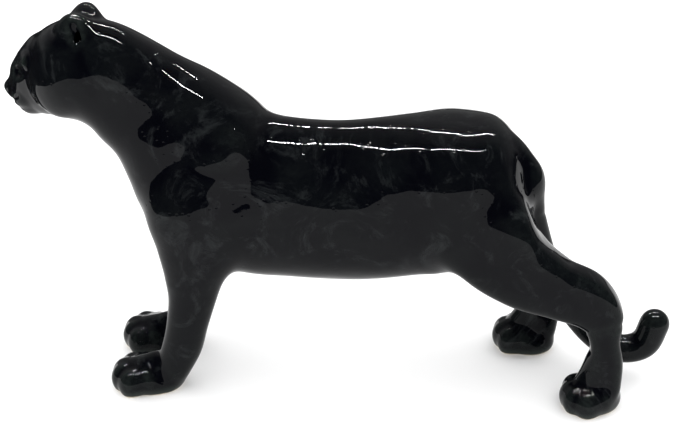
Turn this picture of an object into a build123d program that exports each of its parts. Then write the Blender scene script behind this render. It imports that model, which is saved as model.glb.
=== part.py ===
"""A free-standing glazed pottery panther, hollow-cast in separate pieces and luted together.

Units are millimetres.  The panther stands on z = 0, faces -X, and its left side is at -Y.
Each limb is a loft through elliptical rings that follow its centre line.
"""
from build123d import *
from math import cos, radians, sin
import os

# ---- driving dimensions -------------------------------------------------------------------
WALL = 4.0                # thickness of the cast wall
LEAST_RING = 2.5 * WALL   # no hollow is lofted through sections smaller than this
VENT_RADIUS = 3.0         # firing vent through the belly
VENT_AT = (8.0, 0.0, 60.0)
VENT_LENGTH = 20.0
SOLE_HEIGHT = 0.0         # the plane of the four bare-clay soles

# Trunk and neck: x, z of the spine, degrees that the section leans back at the top,
# half width across, half height along the section.
TRUNK = [
    (-113, 162.6, 17, 20.0, 28.6),
    (-101, 153.0, 21, 23.0, 31.6),
    (-91, 142.8, 26, 26.0, 35.8),
    (-81, 131, 31, 29.0, 40.4),
    (-70, 119.5, 29, 31.0, 43.6),
    (-56, 109.2, 20, 32.0, 44.2),
    (-41, 103.2, 8, 32.5, 42.2),
    (-23, 101, 2, 33.0, 41.5),
    (0, 100, 0, 33.5, 42.0),
    (20, 102, -2, 33.5, 42.0),
    (38, 105, -3, 33.0, 41.5),
    (54, 108, -2, 32.0, 41.0),
    (67, 111, 0, 30.0, 37.0),
    (77, 113, 3, 26.5, 32.0),
    (85, 113, 5, 20.5, 24.0),
    (91, 112, 5, 12.5, 14.0),
    (93.5, 111.5, 5, 5.0, 6.0),
]

# Head: the seam with the neck is the first ring of TRUNK.
HEAD_CENTRE = (-137.0, 7.0, 166.0)
HEAD_TURN = 27.0          # degrees that the nose is turned towards +Y
HEAD_DIP = 15.0           # degrees that the nose points below level
# The back of the skull: centre, heading, half width, half height.
SKULL_BACK = ((-124.0, 2.5, 165.5), (-0.97, 0.24, 0.02), 21.0, 25.0)
# The rings ahead of it: distance ahead of the centre, rise, half width, half height.
HEAD_RINGS = [
    (-3, 0.0, 20.8, 25.0),
    (8, -1.5, 17.0, 22.6),
    (18.5, -5.0, 12.5, 18.4),
    (28, -8.6, 9.4, 13.4),
    (35.5, -10.2, 6.4, 8.4),
    (40, -9.2, 3.2, 3.4),
]
EAR_ACROSS = 8.6          # each ear's distance from the middle of the head
EAR_BACK = -17.0          # behind the head's centre
EAR_RISE = 22.0
EAR_RADII = (6.8, 7.6, 9.0)

# Forelegs: x, z of the centre line, half width across, half length along X.
FORE_STANCE_LEFT = 22.0
FORE_STANCE_RIGHT = 18.0
FORELEG = [
    (-64, 132, 7.0, 9.0),
    (-65, 124, 11.0, 17.0),
    (-67, 110, 13.5, 23.0),
    (-69, 94, 14.0, 23.5),
    (-71, 78, 12.5, 18.5),
    (-72.5, 65, 11.0, 14.5),
    (-74.5, 52, 10.0, 12.0),
    (-77.5, 38, 9.5, 10.8),
    (-81, 25, 9.5, 10.5),
    (-84.5, 14, 10.0, 10.5),
    (-88, 6, 9.5, 10.0),
]

# Hind legs: x, y off the middle, z, half width across, half depth square to the limb.
HIND_LEFT = [
    (60, 13, 124, 9.0, 12.0),
    (65, 16, 115, 13.0, 21.0),
    (70, 18, 102, 16.0, 24.0),
    (79.5, 20, 87, 17.0, 21.5),
    (94, 23, 74.5, 15.0, 17.4),
    (110.5, 26, 66.5, 13.0, 14.6),
    (124, 28, 61.5, 11.5, 14.2),
    (133, 28.5, 52, 10.0, 11.3),
    (136, 29, 39, 8.5, 7.8),
    (137.5, 29.5, 27, 9.0, 8.8),
    (138, 30, 15, 10.5, 9.2),
    (136, 30, 6, 10.0, 8.5),
]
HIND_RIGHT = [
    (60, 13, 124, 9.0, 12.0),
    (65, 16, 115, 13.0, 21.0),
    (69, 18, 102, 16.0, 24.0),
    (72, 20, 87, 17.0, 24.0),
    (80, 23, 75, 15.0, 18.0),
    (90, 26, 66, 12.5, 14.0),
    (98, 28, 57, 10.5, 11.0),
    (103, 28, 46, 9.0, 8.5),
    (106, 28, 34, 8.5, 7.8),
    (108, 28, 22, 9.0, 8.2),
    (106.5, 28, 13, 9.5, 8.5),
    (104, 28, 5, 9.0, 8.0),
]

# Tail: x, y, z of the centre line and its radius.
TAIL = [
    (77, 0, 139, 5.0),
    (85, 0, 131.5, 8.5),
    (92.5, 0, 120, 7.3),
    (96.5, 0, 107.5, 6.5),
    (98.5, 0, 95, 6.0),
    (102, 0, 81, 6.0),
    (106.5, 0, 67, 6.0),
    (113, 0, 52, 6.0),
    (121, 0, 38, 6.2),
    (131, 0, 26, 6.4),
    (141, 0, 18.5, 6.6),
    (150.5, 0, 16.5, 7.0),
    (159, 0, 20.5, 7.3),
    (163.5, 0, 31.5, 7.6),
]

# Paws: x of the middle of the sole, half length, half width, height, degrees turned outwards.
PAW_FORE = (-96.5, 20.5, 12.0, 19.0, 0.0)
PAW_HIND_LEFT = (132.0, 15.5, 12.0, 20.0, 10.0)
PAW_HIND_RIGHT = (98.5, 15.0, 11.5, 18.5, 10.0)
PAW_MIDDLE = 0.35         # height of a paw's widest level, in paw heights
TOE_PITCH = 0.48          # distance between toes, in half widths of the paw
TOE_RADIUS = 0.4          # in half widths of the paw
TOE_SHAPE = (1.3, 1.0, 1.2)
TOE_RISE = 1.05           # height of a toe's middle, in toe radii
TOE_REACH = (0.56, 0.70, 0.70, 0.56)     # how far ahead each toe sits, in half lengths

DOME_ANGLE = 80.0         # how far round the tail's tip its last ring lies
SOLE_CUT = (600.0, 200.0, 100.0)


def ring(centre, heading, half_width, half_height):
    """An elliptical section at centre, square to heading, its width along Y."""
    plane = Plane(origin=centre, x_dir=(0, 1, 0), z_dir=heading)
    return plane * Ellipse(half_width, half_height)


def headings(points):
    """The direction of the centre line at each of its points."""
    result = []
    for index in range(len(points)):
        before = Vector(points[max(index - 1, 0)])
        after = Vector(points[min(index + 1, len(points) - 1)])
        result.append((after - before).normalized())
    return result


def limb(stations):
    """A smooth limb through stations of (centre, half width, half height)."""
    centres = [station[0] for station in stations]
    rings = []
    for (centre, half_width, half_height), heading in zip(stations, headings(centres)):
        rings.append(ring(centre, heading, half_width, half_height))
    return loft(rings)


def dome(centre, heading, radius, reach, steps=3):
    """Stations that close a round limb in a dome of the given reach."""
    stations = []
    for step in range(1, steps + 1):
        angle = radians(DOME_ANGLE * step / steps)
        middle = Vector(centre) + heading * (reach * sin(angle))
        stations.append((middle, radius * cos(angle), radius * cos(angle)))
    return stations


def ellipsoid(centre, radii, turn=0.0):
    """An ellipsoid, turned about Z by the given angle."""
    ball = scale(Sphere(1.0), by=radii)
    return Pos(centre) * Rot(0, 0, turn) * ball


def trunk_ring(station, thinning=0.0):
    """A section of the trunk, made smaller all round by thinning."""
    x, z, lean, half_width, half_height = station
    heading = (-cos(radians(lean)), 0, sin(radians(lean)))
    return ring((x, 0, z), heading, half_width - thinning, half_height - thinning)


def trunk_solid(thinning=0.0):
    rings = []
    for station in TRUNK:
        if thinning == 0.0 or station[3] > LEAST_RING:
            rings.append(trunk_ring(station, thinning))
    return loft(rings)


def make_torso():
    vent = Pos(VENT_AT) * Cylinder(VENT_RADIUS, VENT_LENGTH)
    return trunk_solid() - trunk_solid(WALL) - vent


def head_axes():
    """The directions ahead of, left of and above the head."""
    turn, dip = radians(HEAD_TURN), radians(HEAD_DIP)
    forward = Vector(-cos(turn) * cos(dip), sin(turn) * cos(dip), -sin(dip))
    left = Vector(-sin(turn), -cos(turn), 0)
    up = Vector(-cos(turn) * sin(dip), sin(turn) * sin(dip), cos(dip))
    return forward, left, up


def head_point(ahead, across, rise):
    forward, left, up = head_axes()
    return Vector(HEAD_CENTRE) + forward * ahead + left * across + up * rise


def head_solid(thinning=0.0):
    centre, heading, half_width, half_height = SKULL_BACK
    rings = [
        trunk_ring(TRUNK[0], thinning),
        ring(centre, heading, half_width - thinning, half_height - thinning),
    ]
    forward, left, up = head_axes()
    for ahead, rise, half_width, half_height in HEAD_RINGS:
        if thinning == 0.0 or half_height > LEAST_RING:
            plane = Plane(origin=head_point(ahead, 0, rise), x_dir=left * -1, z_dir=forward)
            rings.append(plane * Ellipse(half_width - thinning, half_height - thinning))
    return loft(rings)


def make_ear(side, head):
    centre = head_point(EAR_BACK, side * EAR_ACROSS, EAR_RISE)
    ear = ellipsoid(centre, EAR_RADII, -HEAD_TURN)
    return ear - head


def make_paw(x, y, paw):
    """A paw with its toes at (x, y), reaching a little below the sole's plane."""
    half_length, half_width, height, turn = paw
    middle = height * PAW_MIDDLE
    shape = ellipsoid((0, 0, middle), (half_length, half_width, height - middle))
    radius = half_width * TOE_RADIUS
    for index, reach in enumerate(TOE_REACH):
        offset = (index - (len(TOE_REACH) - 1) / 2) * half_width * TOE_PITCH
        place = (-half_length * reach, offset, radius * TOE_RISE)
        shape += ellipsoid(place, tuple(radius * factor for factor in TOE_SHAPE))
    outwards = turn if y < 0 else -turn
    return Pos(x, y, 0) * Rot(0, 0, outwards) * shape


def cut_sole(shape):
    below = Pos(0, 0, SOLE_HEIGHT - SOLE_CUT[2] / 2) * Box(*SOLE_CUT)
    return shape - below


def make_foreleg(y):
    stations = [((x, y, z), half_width, half_length) for x, z, half_width, half_length in FORELEG]
    return cut_sole(limb(stations) + make_paw(PAW_FORE[0], y, PAW_FORE[1:]))


def make_hind_leg(side, table, paw):
    stations = [((x, side * y, z), wide, deep) for x, y, z, wide, deep in table]
    return cut_sole(limb(stations) + make_paw(paw[0], side * table[-1][1], paw[1:]))


def make_tail():
    stations = [((x, y, z), radius, radius) for x, y, z, radius in TAIL]
    tip = Vector(TAIL[-1][:3])
    tip_heading = (tip - Vector(TAIL[-2][:3])).normalized()
    return limb(stations + dome(tip, tip_heading, TAIL[-1][3], TAIL[-1][3]))


def build():
    trunk = trunk_solid()
    head = head_solid()
    parts = {"torso": make_torso()}
    parts["head"] = head - head_solid(WALL)
    parts["left_ear"] = make_ear(1, head + trunk)
    parts["right_ear"] = make_ear(-1, head + trunk)
    parts["left_foreleg"] = make_foreleg(-FORE_STANCE_LEFT) - trunk
    parts["right_foreleg"] = make_foreleg(FORE_STANCE_RIGHT) - trunk
    parts["left_hind_leg"] = make_hind_leg(-1, HIND_LEFT, PAW_HIND_LEFT) - trunk
    parts["right_hind_leg"] = make_hind_leg(1, HIND_RIGHT, PAW_HIND_RIGHT) - trunk
    parts["tail"] = make_tail() - trunk
    return parts


os.makedirs("parts", exist_ok=True)
for name, shape in build().items():
    export_step(shape, "parts/" + name + ".step")
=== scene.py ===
"""The looks of the black glazed panther.

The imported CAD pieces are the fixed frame.  Each of them is replaced by a sculpted skin.  All skins are
cut from one clay form, so the glaze runs over the luted seams without a step.  The form is a field of
distances: masses are joined, pressed and carved in it, and its zero surface is the clay.
Lengths in the sculpting code are millimetres; the meshes are in metres.
"""

import math

import bpy
import numpy as np
import openvdb
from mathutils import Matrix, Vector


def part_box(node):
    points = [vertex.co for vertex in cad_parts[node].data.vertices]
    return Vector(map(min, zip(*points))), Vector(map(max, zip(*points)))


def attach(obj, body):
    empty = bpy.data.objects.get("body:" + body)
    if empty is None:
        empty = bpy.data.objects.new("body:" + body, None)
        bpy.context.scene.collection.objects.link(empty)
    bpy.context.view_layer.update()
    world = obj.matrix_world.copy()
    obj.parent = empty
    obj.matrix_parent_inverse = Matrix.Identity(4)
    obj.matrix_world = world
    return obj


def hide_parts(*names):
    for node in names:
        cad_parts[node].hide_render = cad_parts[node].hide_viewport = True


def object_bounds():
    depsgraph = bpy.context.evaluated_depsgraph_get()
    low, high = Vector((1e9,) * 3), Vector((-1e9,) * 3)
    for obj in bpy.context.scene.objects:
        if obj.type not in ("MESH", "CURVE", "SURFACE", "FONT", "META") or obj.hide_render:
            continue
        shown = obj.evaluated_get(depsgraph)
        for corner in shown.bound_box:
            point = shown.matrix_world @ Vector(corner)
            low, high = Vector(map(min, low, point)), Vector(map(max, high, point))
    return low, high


MM = 0.001
FAR = 10.0              # distances are only kept up to this one
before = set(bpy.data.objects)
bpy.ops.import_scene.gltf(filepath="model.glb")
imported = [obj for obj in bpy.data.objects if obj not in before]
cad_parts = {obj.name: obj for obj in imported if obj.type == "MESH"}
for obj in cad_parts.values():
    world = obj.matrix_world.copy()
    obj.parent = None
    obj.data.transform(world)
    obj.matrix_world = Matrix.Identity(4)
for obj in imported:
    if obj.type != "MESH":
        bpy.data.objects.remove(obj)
cad_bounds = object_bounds()


def box_mm(node):
    """A CAD node's lowest and highest corners in millimetres."""
    low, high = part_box(node)
    return np.array(low) / MM, np.array(high) / MM


def unit(vector):
    vector = np.array(vector, float)
    return vector / np.linalg.norm(vector)


# ---- anchors: where the frame says each piece is -------------------------------------------
TORSO_LOW, TORSO_HIGH = box_mm("torso")
TAIL_LOW, TAIL_HIGH = box_mm("tail")
FLOOR = 0.0

HEAD_FROM_TORSO = (-15.6, 40.6, 108.0)      # from the torso box's lowest corner
HEAD_CENTRE = TORSO_LOW + HEAD_FROM_TORSO
HEAD_TURN = math.radians(27)
HEAD_DIP = math.radians(15)
AHEAD = np.array((-math.cos(HEAD_TURN) * math.cos(HEAD_DIP),
                  math.sin(HEAD_TURN) * math.cos(HEAD_DIP), -math.sin(HEAD_DIP)))
LEFT = np.array((-math.sin(HEAD_TURN), -math.cos(HEAD_TURN), 0.0))
CROWN = np.cross(AHEAD, LEFT)
HEAD_AXES = np.stack((AHEAD, LEFT, CROWN), axis=1)


def on_head(ahead, left, up):
    """A point of the head, from its distances ahead of, left of and above the head's centre."""
    return HEAD_CENTRE + AHEAD * ahead + LEFT * left + CROWN * up


# ---- shapes ---------------------------------------------------------------------------------
class Ball:
    """An ellipsoid with its own axes."""

    def __init__(self, centre, radii, axes=None):
        self.centre = np.array(centre, float)
        self.radii = np.broadcast_to(np.array(radii, float), (3,))
        self.axes = np.eye(3) if axes is None else np.array(axes, float)
        reach = np.sqrt(((self.axes * self.radii) ** 2).sum(axis=1))
        self.box = self.centre - reach, self.centre + reach

    def distance(self, x, y, z, clay, slices):
        scaled, steep = 0.0, 0.0
        for axis in range(3):
            along = self.axes[:, axis]
            part = (x - self.centre[0]) * along[0] + (y - self.centre[1]) * along[1]
            part = (part + (z - self.centre[2]) * along[2]).astype(np.float32)
            scaled = scaled + (part / self.radii[axis]) ** 2
            steep = steep + (part / self.radii[axis] ** 2) ** 2
        scaled = np.sqrt(scaled)
        return scaled * (scaled - 1) / (np.sqrt(steep) + 1e-6)


class Bone:
    """A limb with round ends of two sizes."""

    def __init__(self, start, end, start_radius, end_radius):
        self.start, self.end = np.array(start, float), np.array(end, float)
        self.radii = start_radius, end_radius
        widest = max(self.radii)
        self.box = (np.minimum(self.start, self.end) - widest,
                    np.maximum(self.start, self.end) + widest)

    def distance(self, x, y, z, clay, slices):
        line = self.end - self.start
        length = float(np.linalg.norm(line))
        line = line / length
        dx, dy, dz = x - self.start[0], y - self.start[1], z - self.start[2]
        along = dx * line[0] + dy * line[1] + dz * line[2]
        away = np.sqrt(np.maximum(dx * dx + dy * dy + dz * dz - along * along, 0))
        slope = (self.radii[0] - self.radii[1]) / length
        shift = along + away * slope / math.sqrt(max(1 - slope * slope, 1e-6))
        share = np.clip(shift / length, 0, 1)
        near = share * length
        radius = self.radii[0] + (self.radii[1] - self.radii[0]) * share
        return (np.sqrt(away ** 2 + (along - near) ** 2) - radius).astype(np.float32)


def smooth_rows(rows, per_step):
    """Rows of numbers, interpolated by a Catmull-Rom curve."""
    rows = np.array(rows, float)
    padded = np.vstack((2 * rows[0] - rows[1], rows, 2 * rows[-1] - rows[-2]))
    result = []
    for index in range(len(rows) - 1):
        p0, p1, p2, p3 = padded[index:index + 4]
        for step in range(per_step):
            t = step / per_step
            result.append(0.5 * (2 * p1 + (p2 - p0) * t + (2 * p0 - 5 * p1 + 4 * p2 - p3) * t * t
                                 + (3 * p1 - p0 - 3 * p2 + p3) * t ** 3))
    result.append(rows[-1])
    return np.array(result)


class Loft:
    """A limb through oval sections: x, y, z, half width, half depth, lean, egg and square.

    The width lies along side.  The depth is square to the limb, or leans from upright by lean
    degrees where upright is set.  Egg narrows the section towards its upper side, and square fills
    out its corners as it falls below 1.
    """

    SEGMENTS = 144
    STEPS_PER_ROW = 14
    CAP_STEPS = 7
    CAP_ANGLE = math.radians(88)
    DOWNWARD = -0.2         # a depth that points further down than this is turned up

    def __init__(self, rows, upright=False, side=(0.0, 1.0, 0.0)):
        rows = smooth_rows(rows, self.STEPS_PER_ROW)
        centres = rows[:, :3]
        forward = np.gradient(centres, axis=0)
        forward /= np.linalg.norm(forward, axis=1, keepdims=True)
        side = np.array(side)
        if upright:
            lean = np.radians(rows[:, 5])
            depth = np.stack((np.sin(lean), np.zeros(len(rows)), np.cos(lean)), axis=1)
            square_on = np.cross(depth, side)
            forward = square_on * np.sign((square_on * forward).sum(axis=1))[:, None]
        else:
            depth = np.cross(side, forward)
            depth /= np.linalg.norm(depth, axis=1, keepdims=True)
            depth *= np.where(depth[:, 2:] < self.DOWNWARD, -1, 1)
        angles = np.linspace(0, 2 * math.pi, self.SEGMENTS, endpoint=False)
        across = np.sign(np.cos(angles)) * np.abs(np.cos(angles)) ** rows[:, 7:8]
        upward = np.sign(np.sin(angles)) * np.abs(np.sin(angles)) ** rows[:, 7:8]
        width = across * (1 - rows[:, 6:7] * upward)
        rings = (centres[:, None] + (rows[:, 3:4] * width)[..., None] * side
                 + (rows[:, 4:5] * upward)[..., None] * depth[:, None])
        rings = np.concatenate((self.cap(rings[0], centres[0], -forward[0], rows[0])[::-1], rings,
                                self.cap(rings[-1], centres[-1], forward[-1], rows[-1])))
        self.rings = rings.astype(np.float32)
        self.box = self.rings.min(axis=(0, 1)), self.rings.max(axis=(0, 1))

    def cap(self, ring, centre, outward, row):
        """Rings that round off an end."""
        reach = min(row[3], row[4])
        rings = []
        for step in range(1, self.CAP_STEPS + 1):
            angle = self.CAP_ANGLE * step / self.CAP_STEPS
            shrunk = (ring - centre) * math.cos(angle)
            rings.append(centre + shrunk + outward * reach * math.sin(angle))
        return np.array(rings)

    def distance(self, x, y, z, clay, slices):
        margin = 1.2 * FAR
        low = np.array([axis.min() for axis in (x, y, z)]) - margin
        high = np.array([axis.max() for axis in (x, y, z)]) + margin
        inside = ((self.rings > low) & (self.rings < high)).all(axis=2).any(axis=1)
        shape = tuple(axis.size for axis in (x, y, z))
        if not inside.any():
            return np.full(shape, FAR, np.float32)
        used = np.nonzero(inside)[0]
        rings = self.rings[max(used[0] - 1, 0):used[-1] + 2]
        count, around = rings.shape[:2]
        points = np.concatenate((rings.reshape(-1, 3), rings[[0, -1]].mean(axis=1)))
        ring, spoke = np.meshgrid(np.arange(count - 1), np.arange(around), indexing="ij")
        after = (spoke + 1) % around
        quads = np.stack((ring * around + spoke, ring * around + after,
                          (ring + 1) * around + after, (ring + 1) * around + spoke), axis=-1)
        spokes = np.arange(around)
        next_spoke = (spokes + 1) % around
        first_hub, last_hub = np.full(around, count * around), np.full(around, count * around + 1)
        first_fan = np.stack((first_hub, next_spoke, spokes), axis=-1)
        last = (count - 1) * around
        last_fan = np.stack((last_hub, last + spokes, last + next_spoke), axis=-1)
        band = FAR / clay.pitch
        grid = openvdb.FloatGrid.createLevelSetFromPolygons(
            points.astype(np.float32),
            triangles=np.concatenate((first_fan, last_fan)).astype(np.uint32),
            quads=quads.reshape(-1, 4).astype(np.uint32),
            transform=openvdb.createLinearTransform(voxelSize=clay.pitch),
            exBandWidth=band, inBandWidth=band)
        result = np.empty(shape, np.float32)
        first = tuple(int(clay.first[axis] + slices[axis].start) for axis in range(3))
        grid.copyToArray(result, ijk=first)
        return result


# ---- the clay -------------------------------------------------------------------------------
def joined(field, shape, blend):
    """The smooth union of two forms."""
    overlap = np.maximum(blend - np.abs(field - shape), 0) / blend
    return np.minimum(field, shape) - overlap * overlap * (blend / 4)


def carved(field, shape, blend):
    """A form with another one taken out of it."""
    return -joined(-field, shape, blend)


class Clay:
    """A block of space, sampled at an even pitch, that holds distances to the clay's surface."""

    CARVE_MARGIN = 2.0      # beyond the blend
    BRUSH_REACH = 2.6       # a press has faded out at this many of its radii
    WALL = 1.6              # samples within which the skin belongs to the block's own walls
    SETTLE_STEPS = 3        # times that the skin is moved onto the surface
    SETTLE_MOST = 0.5

    def __init__(self, low, high, pitch):
        self.pitch = pitch
        self.first = np.floor(np.array(low) / pitch).astype(int)
        self.count = np.ceil(np.array(high) / pitch).astype(int) - self.first + 1
        self.field = np.full(tuple(self.count), FAR, np.float32)

    def window(self, low, high):
        """The samples inside a box: their slices and coordinates, or None."""
        start = np.clip(np.floor(np.array(low) / self.pitch).astype(int) - self.first, 0, self.count)
        stop = np.clip(np.ceil(np.array(high) / self.pitch).astype(int) - self.first + 1, 0, self.count)
        if (stop - start < 2).any():
            return None
        slices = tuple(slice(int(a), int(b)) for a, b in zip(start, stop))
        axes = [((self.first[axis] + np.arange(start[axis], stop[axis])) * self.pitch).astype(np.float32)
                for axis in range(3)]
        return slices, axes[0][:, None, None], axes[1][None, :, None], axes[2][None, None, :]

    def work(self, rule, shape, blend):
        """Joins a shape to the clay, or carves it out, with a soft edge as wide as blend."""
        margin = FAR if rule is joined else blend + self.CARVE_MARGIN
        found = self.window(shape.box[0] - margin, shape.box[1] + margin)
        if found:
            slices, x, y, z = found
            self.field[slices] = rule(self.field[slices], shape.distance(x, y, z, self, slices), blend)

    def press(self, centre, radii, depth, axes=None):
        """Pushes the surface in by depth, or out where depth is negative, fading with distance."""
        brush = Ball(centre, np.array(radii, float) * self.BRUSH_REACH, axes)
        found = self.window(*brush.box)
        if not found:
            return
        slices, x, y, z = found
        square = 0.0
        for axis in range(3):
            along = brush.axes[:, axis]
            part = (x - brush.centre[0]) * along[0] + (y - brush.centre[1]) * along[1]
            part = part + (z - brush.centre[2]) * along[2]
            square = square + (part * self.BRUSH_REACH / brush.radii[axis]) ** 2
        self.field[slices] += depth * np.exp(-square).astype(np.float32)

    def soften(self, spread):
        """Blurs the field by spread millimetres, as slip and glaze soften an edge."""
        for _ in range(max(1, round(2 * (spread / self.pitch) ** 2))):
            for axis in range(3):
                values = np.moveaxis(self.field, axis, 0)
                inner = values[1:-1] * 0.5 + (values[:-2] + values[2:]) * 0.25
                values[1:-1] = inner

    def at(self, points, values=None):
        """The field, or another array of its shape, at points, by trilinear interpolation."""
        values = self.field if values is None else values
        place = points / self.pitch - self.first
        cell = np.clip(np.floor(place).astype(int), 0, self.count - 2)
        share = np.clip(place - cell, 0, 1)
        total = 0.0
        for corner in range(8):
            step = np.array((corner & 1, corner >> 1 & 1, corner >> 2 & 1))
            weight = np.where(step, share, 1 - share).prod(axis=1)
            index = cell + step
            total = total + weight * values[index[:, 0], index[:, 1], index[:, 2]]
        return total

    def slope(self, points):
        """The field's gradient at points."""
        result = np.empty((len(points), 3))
        for axis in range(3):
            step = np.zeros(3)
            step[axis] = self.pitch
            result[:, axis] = (self.at(points + step) - self.at(points - step)) / (2 * self.pitch)
        return result

    def skin(self):
        """The closed surface of the clay in this block: points on it and quads."""
        field = self.field.copy()
        for axis in range(3):
            walls = np.moveaxis(field, axis, 0)
            walls[0] = np.maximum(walls[0], self.pitch * 0.5)
            walls[-1] = np.maximum(walls[-1], self.pitch * 0.5)
        grid = openvdb.FloatGrid()
        grid.background = FAR
        grid.copyFromArray(field, ijk=tuple(int(i) for i in self.first))
        grid.transform = openvdb.createLinearTransform(voxelSize=self.pitch)
        points, _, quads = grid.convertToPolygons(isovalue=0.0, adaptivity=0.0)
        points = np.array(points, float)
        walls_low = (self.first + self.WALL) * self.pitch
        walls_high = (self.first + self.count - 1 - self.WALL) * self.pitch
        free = ((points > walls_low) & (points < walls_high)).all(axis=1)
        for _ in range(self.SETTLE_STEPS):
            points[free] -= self.step_to_surface(points[free], 1e-6, self.SETTLE_MOST)
        return points, np.array(quads)

    def step_to_surface(self, points, flat, most):
        """The step that takes points off the surface, at most so far along each axis."""
        slope = self.slope(points)
        steep = (slope ** 2).sum(axis=1, keepdims=True) + flat
        return np.clip(self.at(points)[:, None] * slope / steep, -most, most)


# ---- the animal's masses ----------------------------------------------------------------------
# Trunk and neck: distance ahead of the rump's end, height above the belly, lean, half width,
# half height, egg and square.
TRUNK = [
    (222, 114.9, 10, 15.5, 20.0, 0.00, 0.90),
    (207, 104.9, 17, 20.0, 27.9, -0.02, 0.84),
    (195, 96.0, 21, 23.0, 30.1, -0.04, 0.80),
    (185, 85.5, 26, 26.0, 34.3, -0.04, 0.78),
    (175, 73.6, 31, 28.5, 38.9, -0.02, 0.80),
    (164, 61.5, 29, 30.0, 42.8, 0.02, 0.84),
    (150, 51, 20, 31.0, 44.2, 0.05, 0.90),
    (135, 45, 8, 32.0, 43.2, 0.07, 0.98),
    (117, 43, 2, 33.0, 42.5, 0.08, 1.04),
    (94, 42, 0, 33.5, 42.6, 0.07, 1.04),
    (74, 43.5, -2, 33.0, 42.8, 0.04, 1.00),
    (56, 46, -3, 32.6, 41.5, -0.02, 0.86),
    (40, 48.6, -2, 34.2, 39.9, -0.05, 0.74),
    (27, 52.5, 0, 33.0, 35.2, -0.06, 0.74),
    (17, 55, 3, 27.5, 31.4, -0.04, 0.80),
    (9, 55, 5, 20.0, 24.0, 0.00, 0.90),
    (3, 54, 5, 12.0, 14.0, 0.00, 1.00),
]

# Skull and muzzle: distances ahead of and above the head's centre, half width and half height.
SKULL = [
    (-27, 2.5, 16.0, 20.5),
    (-18, 1.2, 20.5, 24.2),
    (-10, -0.2, 21.5, 25.6),
    (-4, -1.0, 20.5, 25.4),
    (1, -1.6, 18.6, 24.6),
    (6, -2.2, 16.6, 23.0),
    (12, -3.2, 14.4, 21.0),
    (18, -4.8, 12.6, 18.6),
    (24, -6.8, 10.9, 15.8),
    (29, -8.8, 8.8, 13.0),
    (33.5, -9.6, 6.4, 10.0),
    (37, -9.4, 4.2, 6.8),
    (40, -8.6, 2.8, 3.8),
]

# Forelegs: distance behind the toe tips, height, half width, half length.
FORELEG = [
    (53, 128, 7.0, 10.0),
    (52, 121, 11.0, 17.0),
    (50, 109, 14.0, 23.5),
    (48, 94, 14.5, 24.5),
    (46, 79, 13.0, 19.8),
    (44.3, 65, 11.0, 15.2),
    (42.8, 52, 9.8, 12.2),
    (40, 38, 9.3, 10.8),
    (37, 25, 9.3, 10.4),
    (31.8, 12, 9.8, 9.2),
]

# Hind legs: distance ahead of the rearmost point, distance inboard of the paw's middle, height,
# half width, half depth.
HIND_LEFT = [
    (88, 17, 124, 9.0, 12.0),
    (83, 14, 115, 13.0, 21.0),
    (78, 12, 101.5, 16.5, 25.0),
    (68.5, 10, 86.5, 17.0, 22.5),
    (54, 7, 74, 15.0, 18.4),
    (37.5, 4, 66.3, 12.0, 14.8),
    (23.6, 2, 61.7, 10.2, 14.2),
    (14.6, 1.5, 52, 8.8, 11.4),
    (12, 1, 39, 7.8, 7.8),
    (10.8, 0.5, 27, 8.2, 8.6),
    (11.5, 0, 13, 9.5, 9.0),
]
HIND_RIGHT = [
    (56, 15, 124, 9.0, 12.0),
    (51, 12, 115, 13.0, 21.0),
    (47, 10, 102, 16.5, 24.0),
    (44, 8, 87, 17.0, 24.0),
    (36, 5, 75, 15.0, 18.0),
    (26, 2, 66, 12.0, 14.0),
    (18, 0, 57, 10.0, 11.0),
    (13, 0, 46, 8.4, 8.5),
    (10, 0, 34, 7.8, 7.8),
    (8.5, 0, 22, 8.2, 8.2),
    (9.7, 0, 13, 9.0, 8.5),
]

# Tail: distance ahead of its rearmost point, height above its lowest point, radius.
TAIL = [
    (95, 126, 3.5),
    (92, 124.5, 6.0),
    (85.5, 119.5, 8.0),
    (78.5, 110.4, 7.3),
    (74.5, 98, 6.5),
    (72.5, 85.4, 6.0),
    (69, 71.4, 6.0),
    (64.5, 57.4, 6.0),
    (58, 42.4, 6.0),
    (50, 28.4, 6.4),
    (40, 16.4, 6.8),
    (30, 8.9, 7.2),
    (20.5, 6.9, 7.6),
    (11.5, 10.9, 7.9),
    (7.2, 22.5, 8.0),
]


# How square the legs' sections are: 1 is oval, and less has fuller corners.
FORE_SQUARE = 0.94
HIND_SQUARE = 0.56


class Leg:
    """Where a leg stands: its side, the x its stations count from, and its paw.

    The paw's middle lies paw_x from that x and inboard of the leg's outermost point.  The paw is
    turned outwards by turn degrees.
    """

    def __init__(self, node, side, front, paw_x, inboard, half_length, half_width, turn):
        low, high = box_mm(node)
        self.side, self.front = side, front
        self.x = low[0] if front else high[0]
        outermost = low[1] if side < 0 else high[1]
        self.y = outermost - side * inboard
        self.half_length, self.half_width = half_length, half_width
        turn = math.radians(turn)
        self.forward = np.array((-math.cos(turn), side * math.sin(turn), 0.0))
        self.outward = np.array((math.sin(turn), side * math.cos(turn), 0.0))
        self.axes = np.stack((self.forward, self.outward, (0, 0, 1)), axis=1)
        self.paw = np.array((self.x + paw_x, self.y, FLOOR))

    def loft(self, table):
        rows = []
        for row in table:
            if self.front:
                behind, height, wide, deep = row
                rows.append((self.x + behind, self.y, height, wide, deep, 0, 0, FORE_SQUARE))
            else:
                ahead, inboard, height, wide, deep = row
                rows.append((self.x - ahead, self.y - self.side * inboard, height, wide, deep,
                             0, 0, HIND_SQUARE))
        return Loft(rows)

    def spot(self, forward, outward, height):
        """A point of the paw."""
        return self.paw + self.forward * forward + self.outward * outward + (0, 0, height)


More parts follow.
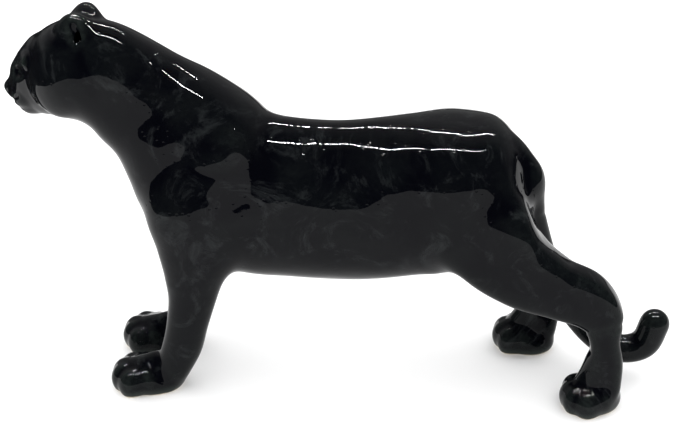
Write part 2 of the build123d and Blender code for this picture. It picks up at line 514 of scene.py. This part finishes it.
LEGS = {
    "left_foreleg": Leg("left_foreleg", -1, True, 19.0, 13.8, 18.8, 12.4, 6),
    "right_foreleg": Leg("right_foreleg", 1, True, 19.0, 13.8, 19.0, 12.4, 6),
    "left_hind_leg": Leg("left_hind_leg", -1, False, -17.0, 15.4, 15.8, 12.5, 22),
    "right_hind_leg": Leg("right_hind_leg", 1, False, -18.0, 14.8, 16.5, 12.0, 14),
}
TABLES = {
    "left_foreleg": FORELEG,
    "right_foreleg": FORELEG,
    "left_hind_leg": HIND_LEFT,
    "right_hind_leg": HIND_RIGHT,
}
LOFTS = {name: leg.loft(TABLES[name]) for name, leg in LEGS.items()}
LOFTS["torso"] = Loft([(TORSO_HIGH[0] - ahead, 0, TORSO_LOW[2] + up, wide, tall, lean, egg, square)
                       for ahead, up, lean, wide, tall, egg, square in TRUNK], upright=True)
LOFTS["tail"] = Loft([(TAIL_HIGH[0] - ahead, 0, TAIL_LOW[2] + up, radius, radius, 0, 0, 1)
                      for ahead, up, radius in TAIL])
LOFTS["head"] = Loft([(*on_head(ahead, 0, up), wide, tall, 0, 0, 1)
                      for ahead, up, wide, tall in SKULL], side=LEFT)


TRUNK_BLEND = 1.0
NECK_BLEND = 8.0
LEG_BLEND = 9.0
TAIL_BLEND = 3.5


def add_masses(clay):
    """Trunk, head, legs and tail."""
    clay.work(joined, LOFTS["torso"], TRUNK_BLEND)
    clay.work(joined, LOFTS["head"], NECK_BLEND)
    for name in LEGS:
        clay.work(joined, LOFTS[name], LEG_BLEND)
    clay.work(joined, LOFTS["tail"], TAIL_BLEND)


# Muscles and hollows on each flank: x, z, half length, half height, lean and depth.  A positive
# depth is a hollow.
FLANK = [
    (-92, 155, 13, 13, -20, 2.2),
    (-82, 102, 15, 13, 0, -2.2),
    (-50, 144, 15, 15, 0, -4.8),
    (-22, 128, 14, 12, 0, -2.4),
    (-52, 112, 14, 12, 0, 1.4),
    (-6, 115, 20, 12, 0, -2.4),
    (2, 86, 26, 10, 0, 0.8),
    (24, 131, 13, 12, 0, -2.4),
    (54, 120, 18, 18, 20, -1.4),
    (26, 84, 10, 14, 20, 1.2),
]
# The same for the upper edge of the left thigh and gaskin.
LEFT_THIGH = [
    (92, 100, 11, 8, -35, -2.4),
    (111, 86, 11, 7, -35, -2.0),
]
FLANK_OUT = 32.0        # how far from the middle plane they are pressed, and how deep they reach
FLANK_REACH = 16
# A hollow on each side of the nape, and a swelling of the breast: middle, radii and depth.
NAPE = (-82, 15, 172), (14, 10, 10), 1.8
BREAST = (-116, 0, 130), (10, 8, 16), -0.4

# Shallow unevenness of the casting.
UNEVEN_SEED = 11
UNEVEN_SPOTS = 150
UNEVEN_MARGIN = np.array((0, 8, 8))
UNEVEN_BEHIND = np.array((40, 0, 0))
UNEVEN_RADII = 5, 11
UNEVEN_DEPTH = 0.35


def add_muscles(clay):
    """Muscles, hollows and unevenness."""
    for side in (1, -1):
        for x, z, long, tall, lean, depth in FLANK + (LEFT_THIGH if side < 0 else []):
            radii = long, FLANK_REACH, tall
            clay.press((x, side * FLANK_OUT, z), radii, depth, lean_axes(lean))
        (x, across, z), radii, depth = NAPE
        clay.press((x, side * across, z), radii, depth)
    clay.press(*BREAST)
    chance = np.random.default_rng(UNEVEN_SEED)
    low, high = TORSO_LOW - UNEVEN_MARGIN, TORSO_HIGH + UNEVEN_MARGIN + UNEVEN_BEHIND
    for spot in chance.uniform(low, high, (UNEVEN_SPOTS, 3)):
        radii = chance.uniform(*UNEVEN_RADII, 3)
        clay.press(spot, radii, chance.uniform(-UNEVEN_DEPTH, UNEVEN_DEPTH))


def lean_axes(degrees):
    """Axes turned about Y, so that up leans backwards by some degrees."""
    angle = math.radians(degrees)
    return np.array(((math.cos(angle), 0, math.sin(angle)), (0, 1, 0),
                     (-math.sin(angle), 0, math.cos(angle)))).T


CLAY_BLUR = 1.2         # of the masses, before the features are added
GLAZE_BLUR = 0.45       # of everything


def build(clay):
    """Sculpts the whole animal, as far as it lies in this block."""
    add_masses(clay)
    add_muscles(clay)
    clay.soften(CLAY_BLUR)
    add_face(clay)
    for side in (1, -1):
        add_ear(clay, side)
    for leg in LEGS.values():
        add_paw(clay, leg)
    cut_soles(clay)
    clay.soften(GLAZE_BLUR)


GROOVE_STEPS = 10       # points between two corners
GROOVE_SETTLE = 6       # times that its points are moved onto the surface
GROOVE_FLAT = 0.05      # keeps the moves short where the field is flat
GROOVE_MOST = 1.5


def groove(clay, corners, radius, blend):
    """Scores a line into the surface nearest to a path through corners."""
    corners = np.array(corners)
    corner_places = np.arange(len(corners))
    places = np.linspace(0, len(corners) - 1, GROOVE_STEPS * (len(corners) - 1) + 1)
    path = np.stack([np.interp(places, corner_places, corners[:, axis]) for axis in range(3)], axis=1)
    for _ in range(GROOVE_SETTLE):
        path -= clay.step_to_surface(path, GROOVE_FLAT, GROOVE_MOST)
    for start, end in zip(path[:-1], path[1:]):
        clay.work(carved, Bone(start, end + 1e-3, radius, radius), blend)


# The face.  Places are distances ahead of, left of and above the head's centre.
# Balls: place, radii and blend.
CHEEK = (-1, 12.5, -6), (11, 6.5, 13), 7
MUZZLE_PAD = (27, 4.6, -11.8), (7.2, 5.2, 5.4), 3
NOSE = (38.8, 0, -7.2), (3.4, 3.8, 2.8), 1.8
CHIN = (27.6, 0, -17.6), (5.4, 5.0, 3.8), 3
EYE_SOCKET = (22.0, 9.6, 3.4), (3.0, 3.2, 2.0), 3.0
EYE = (18.8, 8.4, 3.4), (3.2, 3.0, 2.2), 1.2
NOSTRIL = (42.0, 2.0, -8.2), (1.4, 0.9, 0.9), 0.7
# Bones: both ends, their radii and blend.
BROW = (21, 4.5, 8.2), (13, 11.5, 8.4), 2.4, 2.8, 3.5
NOSE_BRIDGE = (12, 0, 11.5), (36, 0, -6.2), 6.4, 4.0, 4
JAW = (28, 0, -17.0), (14, 0, -16.8), 4.6, 6.2, 4
# Grooves: corners, radius and blend.
MOUTH = [(38.5, 0, -13.0), (35, 5.0, -13.4), (27, 9.0, -10.0)], 0.55, 0.9
LIP_SPLIT = [(42, 0, -9.6), (39, 0, -13.0)], 0.45, 0.8


def on_face(place, side):
    """A point of the head, given for its left side, on its left (1) or right (-1) side."""
    ahead, left, up = place
    return on_head(ahead, side * left, up)


def face_ball(clay, rule, ball, side=1):
    place, radii, blend = ball
    clay.work(rule, Ball(on_face(place, side), radii, HEAD_AXES), blend)


def face_bone(clay, bone, side=1):
    start, end, start_radius, end_radius, blend = bone
    clay.work(joined, Bone(on_face(start, side), on_face(end, side), start_radius, end_radius), blend)


def face_groove(clay, line, side=1):
    corners, radius, blend = line
    groove(clay, [on_face(corner, side) for corner in corners], radius, blend)


def add_face(clay):
    """Brows, eyes, nose, muzzle pads and mouth."""
    for side in (1, -1):
        face_ball(clay, joined, CHEEK, side)
        face_ball(clay, joined, MUZZLE_PAD, side)
        face_bone(clay, BROW, side)
    face_bone(clay, NOSE_BRIDGE)
    face_ball(clay, joined, NOSE)
    face_ball(clay, joined, CHIN)
    face_bone(clay, JAW)
    for side in (1, -1):
        face_ball(clay, carved, EYE_SOCKET, side)
        face_ball(clay, joined, EYE, side)
        face_groove(clay, MOUTH, side)
        face_ball(clay, carved, NOSTRIL, side)
    face_groove(clay, LIP_SPLIT)


# Left (1) and right (-1) ears: ahead of, outwards of and above the head's centre, and their radii.
EARS = {
    1: (-19.0, 6.4, 21.6, (8.6, 6.8, 8.8)),
    -1: (-15.4, 7.6, 22.0, (8.8, 7.0, 9.0)),
}
EAR_SPLAY = 0.35        # how far the ears lean outwards
EAR_OUT = 0.75          # their open sides face outwards and a little back
EAR_BACK = 0.25
EAR_BLEND = 5.5
SLIT_PLACE = (-2.2, 6.4, 2.0)       # from the ear's middle along its own axes
SLIT_RADII = (1.6, 2.8, 5.4)
SLIT_BLEND = 3.0


def ear_axes(side):
    """An ear's own axes: across its thin side, outwards, and up."""
    lean = unit(CROWN + LEFT * side * EAR_SPLAY)
    outward = unit(LEFT * side * EAR_OUT - AHEAD * EAR_BACK)
    ahead = unit(np.cross(outward, lean) * side)
    outward = np.cross(lean, ahead) * side
    return np.stack((ahead, outward, lean), axis=1)


def add_ear(clay, side):
    """A low rounded ear whose hollow is a slit that opens outwards."""
    ahead, across, rise, radii = EARS[side]
    middle = on_head(ahead, side * across, rise)
    axes = ear_axes(side)
    clay.work(joined, Ball(middle, radii, axes), EAR_BLEND)
    clay.work(carved, Ball(middle + axes @ SLIT_PLACE, SLIT_RADII, axes), SLIT_BLEND)


# Paws.  Toes: place across in toe pitches, and how far back from the longest toe.
TOES = ((-1.5, 4.6), (-0.5, 0.4), (0.5, 0.0), (1.5, 4.0))
TOE_PITCH = 0.47        # of the paw's half width
TOE_RADII = (5.6, 0.84, 8.2)        # length, width in toe pitches, height
TOE_SPREAD = 1.04       # the tips lie further apart than
KNUCKLE_SPREAD = 0.9    # the knuckles behind them
TOE_HEIGHT = 5.4
TOE_TOP = np.array((0, 0, 1.5))
TOE_BLEND = 2.8
KNUCKLE_BACK = 17.0     # behind the paw's front
KNUCKLE_HEIGHT = 8.5
KNUCKLE_RADII = 5.9, 5.4
KNUCKLE_BLEND = 3.6
PAD_PLACE = (-1, 0, 4.6)            # the body of the paw
PAD_LENGTH = 0.92       # of the paw's half length
PAD_WIDTH = 1.02        # of its half width
PAD_HEIGHT = 9.5
PAD_BLEND = 3.5
FORE_INSTEP = 12.0      # heights at which the instep starts
HIND_INSTEP = 23.0
INSTEP_BACK = 3.0
INSTEP_FRONT = 10.0
INSTEP_HEIGHT = 7.5
INSTEP_RADIUS = 7.0
INSTEP_BLEND = 5.0
SOLE_BLEND = 0.8
SOLE_REACH = 6.0        # height up to which the soles are cut
EVERYWHERE = 1e4


def add_paw(clay, leg):
    """A foot of four toes, set in an arc across the front of the paw."""
    long, wide = leg.half_length, leg.half_width
    pitch = wide * TOE_PITCH
    pad = Ball(leg.spot(*PAD_PLACE), (long * PAD_LENGTH, wide * PAD_WIDTH, PAD_HEIGHT), leg.axes)
    clay.work(joined, pad, PAD_BLEND)
    rise = FORE_INSTEP if leg.front else HIND_INSTEP
    instep = Bone(leg.spot(-INSTEP_BACK, 0, rise), leg.spot(long - INSTEP_FRONT, 0, INSTEP_HEIGHT),
                  INSTEP_RADIUS, INSTEP_RADIUS)
    clay.work(joined, instep, INSTEP_BLEND)
    toe_long, toe_wide, toe_tall = TOE_RADII
    for across, back in TOES:
        tip = leg.spot(long - back - toe_long, across * pitch * TOE_SPREAD, TOE_HEIGHT)
        knuckle = leg.spot(long - KNUCKLE_BACK, across * pitch * KNUCKLE_SPREAD, KNUCKLE_HEIGHT)
        clay.work(joined, Bone(knuckle, tip + TOE_TOP, *KNUCKLE_RADII), KNUCKLE_BLEND)
        clay.work(joined, Ball(tip, (toe_long, pitch * toe_wide, toe_tall), leg.axes), TOE_BLEND)


def cut_soles(clay):
    """Cuts the paws off flat at the floor."""
    found = clay.window((-EVERYWHERE, -EVERYWHERE, -EVERYWHERE), (EVERYWHERE, EVERYWHERE, SOLE_REACH))
    if found:
        slices, x, y, z = found
        below = np.broadcast_to(z - FLOOR, clay.field[slices].shape)
        clay.field[slices] = carved(clay.field[slices], below, SOLE_BLEND)


# ---- from clay to meshes ----------------------------------------------------------------------
LIMB_SEAM = 4.0         # how far outside a limb's loft its seam with the trunk lies
HEAD_REGION = Ball(on_head(10, 0, -4), 35.0)
EAR_RADIUS = 9.8        # of the ball that holds all of an ear
EAR_ABOVE = 3.5         # its middle lies above the ear's own
EAR_CLEAR = 0.8         # and clear of the head's middle plane
PAW_MIDDLE = (4, 0, 2)
PAW_RADIUS = 25.0


def ear_region(side):
    ahead, _, rise, _ = EARS[side]
    return Ball(on_head(ahead, side * (EAR_RADIUS + EAR_CLEAR), rise + EAR_ABOVE), EAR_RADIUS)


EAR_REGIONS = {"left_ear": ear_region(1), "right_ear": ear_region(-1)}


def region(clay, name):
    """Distances to the space that belongs to a piece, sampled like the clay."""
    if name in EAR_REGIONS:
        parts = [(EAR_REGIONS[name], 0.0)]
    elif name == "head":
        parts = [(HEAD_REGION, 0.0)]
    else:
        parts = [(LOFTS[name], LIMB_SEAM)]
        if name in LEGS:
            parts.append((Ball(LEGS[name].spot(*PAW_MIDDLE), PAW_RADIUS), 0.0))
    values = np.full(tuple(clay.count), FAR, np.float32)
    for shape, offset in parts:
        found = clay.window(shape.box[0] - FAR, shape.box[1] + FAR)
        if found:
            slices, x, y, z = found
            near = shape.distance(x, y, z, clay, slices) - offset
            if name in LEGS:
                near = np.maximum(near, -LEGS[name].side * y)
            values[slices] = np.minimum(values[slices], near)
    return values


LEAST_CUT = 0.06        # how near to an edge's end a cut may lie, as a share of the edge


def clip(points, triangles, values):
    """The part of a mesh where the values at its points are below zero."""
    inside = values < 0
    flags = inside[triangles]
    count = flags.sum(axis=1)
    mixed = (count == 1) | (count == 2)
    odd = np.where((count == 1)[:, None], flags, ~flags)[mixed].argmax(axis=1)
    rows = np.nonzero(mixed)[0]
    a, b, c = (triangles[rows, (odd + step) % 3] for step in range(3))
    pairs = np.sort(np.concatenate((np.stack((a, b), 1), np.stack((a, c), 1))), axis=1)
    pairs, inverse = np.unique(pairs, axis=0, return_inverse=True)
    inverse = inverse.reshape(-1)
    low, high = pairs[:, 0], pairs[:, 1]
    share = np.clip(values[low] / (values[low] - values[high]), LEAST_CUT, 1 - LEAST_CUT)
    cuts = points[low] + (points[high] - points[low]) * share[:, None]
    ab = len(points) + inverse[:len(rows)]
    ac = len(points) + inverse[len(rows):]
    one = count[rows] == 1
    tips = np.stack((a, ab, ac), 1)[one]
    base_one = np.stack((ab, b, c), 1)[~one]
    base_two = np.stack((ab, c, ac), 1)[~one]
    kept = np.concatenate((triangles[count == 3], tips, base_one, base_two))
    return np.concatenate((points, cuts)), kept


def largest(points, triangles):
    """The biggest connected part of a mesh, with its unused points dropped."""
    label = np.arange(len(points))
    while True:
        least = label[triangles].min(axis=1)
        after = label.copy()
        for corner in range(3):
            np.minimum.at(after, triangles[:, corner], least)
        after = after[after]
        if (after == label).all():
            break
        label = after
    owner = label[triangles[:, 0]]
    names, sizes = np.unique(owner, return_counts=True)
    triangles = triangles[owner == names[sizes.argmax()]]
    used = np.unique(triangles)
    index = np.zeros(len(points), int)
    index[used] = np.arange(len(used))
    return points[used], index[triangles]


def closed(points, triangles):
    """A mesh with each open rim closed by a fan to the rim's middle."""
    edges = np.concatenate([triangles[:, [i, (i + 1) % 3]] for i in range(3)])
    keys = edges[:, 0] * len(points) + edges[:, 1]
    free = ~np.isin(keys, edges[:, 1] * len(points) + edges[:, 0])
    follow = {int(b): int(a) for a, b in edges[free]}
    points, triangles = list(points), [triangles]
    while follow:
        start, step = follow.popitem()
        rim = [start]
        while step != start and step in follow:
            rim.append(step)
            step = follow.pop(step)
        middle = np.mean([points[i] for i in rim], axis=0)
        points.append(middle)
        after = rim[1:] + rim[:1]
        triangles.append(np.array([(a, b, len(points) - 1) for a, b in zip(rim, after)]))
    return np.array(points), np.concatenate(triangles)


def make_piece(name, clay, cutters=()):
    """A piece of the animal: its own region of the clay's skin, less the regions of its neighbours."""
    points, quads = clay.skin()
    triangles = np.concatenate((quads[:, [0, 1, 2]], quads[:, [0, 2, 3]]))
    values = None
    if name != "torso":
        values = region(clay, name)
    for cutter in cutters:
        outside = -region(clay, cutter)
        values = outside if values is None else np.maximum(values, outside)
    points, triangles = clip(points, triangles, clay.at(points, values))
    points, triangles = closed(*largest(points, triangles))
    mesh = bpy.data.meshes.new(name)
    mesh.from_pydata((points * MM).tolist(), [], triangles.tolist())
    mesh.polygons.foreach_set("use_smooth", np.ones(len(triangles), bool))
    slope = clay.slope(points)
    slope /= np.linalg.norm(slope, axis=1, keepdims=True) + 1e-9
    mesh.normals_split_custom_set_from_vertices(slope.tolist())
    thin = mesh.attributes.new("thin", "FLOAT", "POINT")
    thin.data.foreach_set("value", ridges(clay, points).astype(np.float32))
    piece = bpy.data.objects.new("panther_" + name, mesh)
    bpy.context.collection.objects.link(piece)
    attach(piece, "root")
    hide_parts(name)
    return piece


RIDGE_REACH = 1.2
RIDGE_GAIN = 1.1


def ridges(clay, points):
    """How sharply the clay curves outwards at points, from 0 on flat clay to 1 on an edge."""
    total = 0.0
    for axis in range(3):
        for sign in (1, -1):
            step = np.zeros(3)
            step[axis] = sign * RIDGE_REACH
            total = total + clay.at(points + step)
    curve = (total - 6 * clay.at(points)) / RIDGE_REACH ** 2
    return np.clip(curve * RIDGE_GAIN, 0, 1)


# Blocks: margin around the piece's CAD box, and pitch.
WHOLE_BLOCK = 7, 1.0
HEAD_BLOCK = 15, 0.5
LEG_BLOCK = 14, 0.65
TAIL_BLOCK = 12, 0.6


def block(box, margin, pitch):
    """The sculpted clay around a box."""
    low, high = box
    clay = Clay(low - margin, high + margin, pitch)
    build(clay)
    return clay


def make_panther():
    """The nine pieces.  Head and ears are cut from one block."""
    whole = block([np.array(corner) / MM for corner in cad_bounds], *WHOLE_BLOCK)
    pieces = [make_piece("torso", whole, ["head", "tail"] + list(LEGS))]
    skull = block(box_mm("head"), *HEAD_BLOCK)
    pieces.append(make_piece("head", skull, list(EAR_REGIONS)))
    for name in EAR_REGIONS:
        pieces.append(make_piece(name, skull))
    for name in LEGS:
        pieces.append(make_piece(name, block(box_mm(name), *LEG_BLOCK)))
    pieces.append(make_piece("tail", block(box_mm("tail"), *TAIL_BLOCK)))
    return pieces


# ---- the glaze -----------------------------------------------------------------------------------
class Nodes:
    """Adds shader nodes and links them from left to right."""

    def __init__(self, material):
        material.use_nodes = True
        self.tree = material.node_tree
        self.shader = self.tree.nodes["Principled BSDF"]

    def add(self, kind, settings=None, **sockets):
        node = self.tree.nodes.new(kind)
        for name, value in (settings or {}).items():
            setattr(node, name, value)
        for name, value in sockets.items():
            self.feed(node.inputs[name.replace("_", " ")], value)
        return node

    def feed(self, socket, value):
        if isinstance(value, bpy.types.NodeSocket):
            self.tree.links.new(value, socket)
        else:
            socket.default_value = value

    def noise(self, place, scale, detail=4.0, roughness=0.55, distortion=0.0):
        node = self.add("ShaderNodeTexNoise", Vector=place, Scale=scale, Detail=detail,
                        Roughness=roughness, Distortion=distortion)
        return node.outputs["Fac"]

    def ramp(self, value, low, high, start=0.0, end=1.0):
        node = self.add("ShaderNodeMapRange", {"interpolation_type": "SMOOTHSTEP"}, Value=value,
                        From_Min=low, From_Max=high, To_Min=start, To_Max=end)
        return node.outputs["Result"]

    def math(self, operation, first, second):
        node = self.tree.nodes.new("ShaderNodeMath")
        node.operation = operation
        self.feed(node.inputs[0], first)
        self.feed(node.inputs[1], second)
        return node.outputs[0]

    def mix(self, share, first, second):
        node = self.tree.nodes.new("ShaderNodeMix")
        node.data_type = "RGBA"
        self.feed(node.inputs[0], share)
        self.feed(node.inputs[6], first)
        self.feed(node.inputs[7], second)
        return node.outputs[2]


BLACK = (0.0008, 0.0009, 0.0018, 1)
CLOUD = (0.0022, 0.0025, 0.0032, 1)
VEIL = (0.013, 0.0145, 0.0155, 1)
THIN_GLAZE = (0.021, 0.027, 0.024, 1)
BARE_CLAY = (0.62, 0.55, 0.44, 1)

# Noise scales, in features per metre.
CLOUD_SCALE = 38.0
VEIL_SCALE = 32.0
SPECK_SCALE = 420.0
RUN_SCALE = 160.0
RIPPLE_SCALE = 55.0
PIT_SCALE = 260.0
GRAIN_SCALE = 900.0
# Heights in metres.
RUN_HEIGHT = 0.0016             # how far the glaze's lower edge wanders
BARE_TOP, BARE_BOTTOM = 0.0006, -0.0004
FEET_TOP, FEET_BOTTOM = 0.007, 0.0005
FEET_THIN = 0.9                 # how thin the glaze gets at the feet
SMOOTH, DULL = 0.006, 0.035     # roughness
BARE_ROUGH = 0.7
MIRROR = 0.15                   # specular level
RIPPLE_RELIEF, PIT_RELIEF, GRAIN_RELIEF = 3.0, 0.25, 0.025
RELIEF_HEIGHT, RELIEF_STRENGTH = 0.0004, 0.35


def glaze_colour(nodes, place, clouds, bare):
    """Black, with clouds and a faint veil.  Thin on ridges and at the feet, and off at the soles."""
    specks = nodes.noise(place, SPECK_SCALE, 3.0)
    thin = nodes.add("ShaderNodeAttribute", {"attribute_name": "thin"}).outputs["Fac"]
    height = nodes.add("ShaderNodeSeparateXYZ", Vector=place).outputs["Z"]
    low_feet = nodes.ramp(height, FEET_TOP, FEET_BOTTOM)
    colour = nodes.mix(nodes.ramp(clouds, 0.45, 0.72), BLACK, CLOUD)
    veil = nodes.ramp(nodes.noise(place, VEIL_SCALE, 9.0, 0.72, 2.2), 0.5, 0.74)
    colour = nodes.mix(veil, colour, VEIL)
    edge = nodes.math("MULTIPLY", thin, nodes.ramp(specks, 0.3, 0.7, 0.5, 1.0))
    edge = nodes.math("MAXIMUM", edge, nodes.math("MULTIPLY", low_feet, FEET_THIN))
    colour = nodes.mix(edge, colour, THIN_GLAZE)
    return nodes.mix(bare, colour, BARE_CLAY)


def bare_soles(nodes, place):
    """Where the clay is bare: 1 at the soles, up to an edge that wanders."""
    height = nodes.add("ShaderNodeSeparateXYZ", Vector=place).outputs["Z"]
    run = nodes.math("MULTIPLY", nodes.noise(place, RUN_SCALE, 2.0), RUN_HEIGHT)
    return nodes.ramp(nodes.math("SUBTRACT", height, run), BARE_TOP, BARE_BOTTOM)


def glaze_relief(nodes, place):
    """Ripples, pinholes and fine grain."""
    ripples = nodes.math("MULTIPLY", nodes.noise(place, RIPPLE_SCALE, 2.0, 0.4), RIPPLE_RELIEF)
    cells = nodes.add("ShaderNodeTexVoronoi", {"feature": "F1"}, Vector=place, Scale=PIT_SCALE)
    pits = nodes.math("MULTIPLY", nodes.ramp(cells.outputs["Distance"], 0.10, 0.22), PIT_RELIEF)
    grain = nodes.math("MULTIPLY", nodes.noise(place, GRAIN_SCALE, 2.0), GRAIN_RELIEF)
    return nodes.math("ADD", nodes.math("ADD", ripples, pits), grain)


def glaze_material():
    material = bpy.data.materials.new("black_glaze")
    nodes = Nodes(material)
    inputs = nodes.shader.inputs
    place = nodes.add("ShaderNodeTexCoord").outputs["Object"]
    clouds = nodes.noise(place, CLOUD_SCALE, 5.0, 0.6, 0.8)
    bare = bare_soles(nodes, place)
    nodes.feed(inputs["Base Color"], glaze_colour(nodes, place, clouds, bare))
    rough = nodes.ramp(clouds, 0.35, 0.8, SMOOTH, DULL)
    nodes.feed(inputs["Roughness"], nodes.math("ADD", rough, nodes.math("MULTIPLY", bare, BARE_ROUGH)))
    inputs["Specular IOR Level"].default_value = MIRROR
    bump = nodes.add("ShaderNodeBump", Height=glaze_relief(nodes, place), Distance=RELIEF_HEIGHT,
                     Strength=RELIEF_STRENGTH)
    nodes.feed(inputs["Normal"], bump.outputs["Normal"])
    return material


# ---- the studio, in metres ----------------------------------------------------------------------
CAMERA_TURN = math.radians(3)
CAMERA_RISE = math.radians(28)
CAMERA_DISTANCE = 1.0
AIM = np.array((0.0, 0.0, 0.088))
FRAME_WIDTH = 0.34629       # across the picture at the aim point

FLOOR_SIZE = 12.0
FLOOR_COLOUR = (0.92, 0.92, 0.92, 1)
CARD_COLOUR = (0.66, 0.66, 0.66, 1)
CARD_HEIGHT = 0.0002
# The card's two halves, in front of and behind the figure: lowest and highest x and y.
CARDS = [((-0.5, -1.0), (0.9, 0.1)), ((-0.25, 0.1), (0.9, 1.2))]

# What the glaze mirrors above the card, and the light that falls on everything else.
DARK_ROOM = 0.03
BRIGHT_WALL = 0.3
WALL_START, WALL_FULL = 0.0, 0.5        # how far towards +Y a direction points
HORIZON = 0.05                          # over which the wall fades in upwards
EVEN_LIGHT = 1.7

LAMP_HEIGHT = 1.3
LAMP_ROWS = (-0.09, 0.95)
LAMP_COUNT = 51
LAMP_STEP = 0.027
LAMP_START = -0.65
LAMP_HALF = 0.0058
LAMP_POWER = 1000.0

FILL_SIZE = 3.0
FILL_HEIGHT = 2.4
FILL_POWER = 12


def add_camera():
    data = bpy.data.cameras.new("camera")
    camera = bpy.data.objects.new("camera", data)
    bpy.context.collection.objects.link(camera)
    looking = np.array((-math.sin(CAMERA_TURN) * math.cos(CAMERA_RISE),
                        math.cos(CAMERA_TURN) * math.cos(CAMERA_RISE), -math.sin(CAMERA_RISE)))
    camera.location = AIM - looking * CAMERA_DISTANCE
    camera.rotation_euler = (math.pi / 2 - CAMERA_RISE, 0, CAMERA_TURN)
    data.lens = data.sensor_width * CAMERA_DISTANCE / FRAME_WIDTH
    bpy.context.scene.camera = camera


def plain_material(name, colour, roughness=0.9, emission=0.0):
    material = bpy.data.materials.new(name)
    material.use_nodes = True
    shader = material.node_tree.nodes["Principled BSDF"]
    shader.inputs["Base Color"].default_value = colour
    shader.inputs["Roughness"].default_value = roughness
    shader.inputs["Specular IOR Level"].default_value = 0.0
    shader.inputs["Emission Color"].default_value = (1, 1, 1, 1)
    shader.inputs["Emission Strength"].default_value = emission
    return material


def add_floor():
    bpy.ops.mesh.primitive_plane_add(size=FLOOR_SIZE, location=(0, 0, FLOOR * MM))
    floor = bpy.context.object
    floor.name = "floor"
    floor.data.materials.append(plain_material("floor", FLOOR_COLOUR))
    floor.visible_glossy = False


def flat_panels(name, panels, height, material):
    """Level rectangles at one height, from their lowest and highest x and y, as one object."""
    points, faces = [], []
    for low, high in panels:
        first = len(points)
        points += [(low[0], low[1], height), (high[0], low[1], height),
                   (high[0], high[1], height), (low[0], high[1], height)]
        faces.append((first, first + 1, first + 2, first + 3))
    mesh = bpy.data.meshes.new(name)
    mesh.from_pydata(points, [], faces)
    mesh.materials.append(material)
    panel = bpy.data.objects.new(name, mesh)
    bpy.context.collection.objects.link(panel)
    panel.visible_diffuse = False
    return panel


def add_card():
    """The white card under the figure, which is all of the floor that the glaze mirrors."""
    card = flat_panels("card", CARDS, CARD_HEIGHT, plain_material("card", CARD_COLOUR))
    card.visible_camera = False
    card.visible_shadow = False


def add_lamp_rows():
    """Two rows of small lamps overhead, along the figure."""
    panels = []
    for y in LAMP_ROWS:
        for index in range(LAMP_COUNT):
            x = LAMP_START + index * LAMP_STEP
            panels.append(((x - LAMP_HALF, y - LAMP_HALF), (x + LAMP_HALF, y + LAMP_HALF)))
    glow = plain_material("lamp", (1, 1, 1, 1), emission=LAMP_POWER)
    flat_panels("lamp_rows", panels, LAMP_HEIGHT, glow)


def map_range(tree, value, settings):
    """A Map Range node of the world, with the settings of its sockets."""
    node = tree.nodes.new("ShaderNodeMapRange")
    tree.links.new(value, node.inputs["Value"])
    for name, number in settings.items():
        node.inputs[name].default_value = number
    return node


def add_world():
    """Even light on the floor.  What the glaze mirrors is a dark room with a bright wall behind."""
    world = bpy.data.worlds.new("studio")
    bpy.context.scene.world = world
    world.use_nodes = True
    tree = world.node_tree
    coordinates = tree.nodes.new("ShaderNodeTexCoord")
    split = tree.nodes.new("ShaderNodeSeparateXYZ")
    tree.links.new(coordinates.outputs["Generated"], split.inputs[0])
    above = map_range(tree, split.outputs["Z"], {"From Min": -HORIZON, "From Max": HORIZON,
                                                 "To Min": DARK_ROOM, "To Max": BRIGHT_WALL})
    wall = map_range(tree, split.outputs["Y"], {"From Min": WALL_START, "From Max": WALL_FULL,
                                                "To Min": DARK_ROOM})
    wall.interpolation_type = "SMOOTHSTEP"
    tree.links.new(above.outputs["Result"], wall.inputs["To Max"])
    path = tree.nodes.new("ShaderNodeLightPath")
    choose = tree.nodes.new("ShaderNodeMix")
    tree.links.new(path.outputs["Is Glossy Ray"], choose.inputs[0])
    choose.inputs[2].default_value = EVEN_LIGHT
    tree.links.new(wall.outputs["Result"], choose.inputs[3])
    background = tree.nodes["Background"]
    tree.links.new(choose.outputs[0], background.inputs["Strength"])
    background.inputs["Color"].default_value = (1, 1, 1, 1)


def add_fill():
    """A broad soft light from above that shows in no reflection."""
    data = bpy.data.lights.new("fill", "AREA")
    data.shape = "SQUARE"
    data.size = FILL_SIZE
    data.energy = FILL_POWER
    fill = bpy.data.objects.new("fill", data)
    fill.location = (0, 0, FILL_HEIGHT)
    fill.visible_glossy = False
    bpy.context.collection.objects.link(fill)


pieces = make_panther()
glaze = glaze_material()
for piece in pieces:
    piece.data.materials.append(glaze)
add_camera()
add_floor()
add_card()
add_world()
add_lamp_rows()
add_fill()
bpy.context.scene.view_settings.view_transform = "Standard"
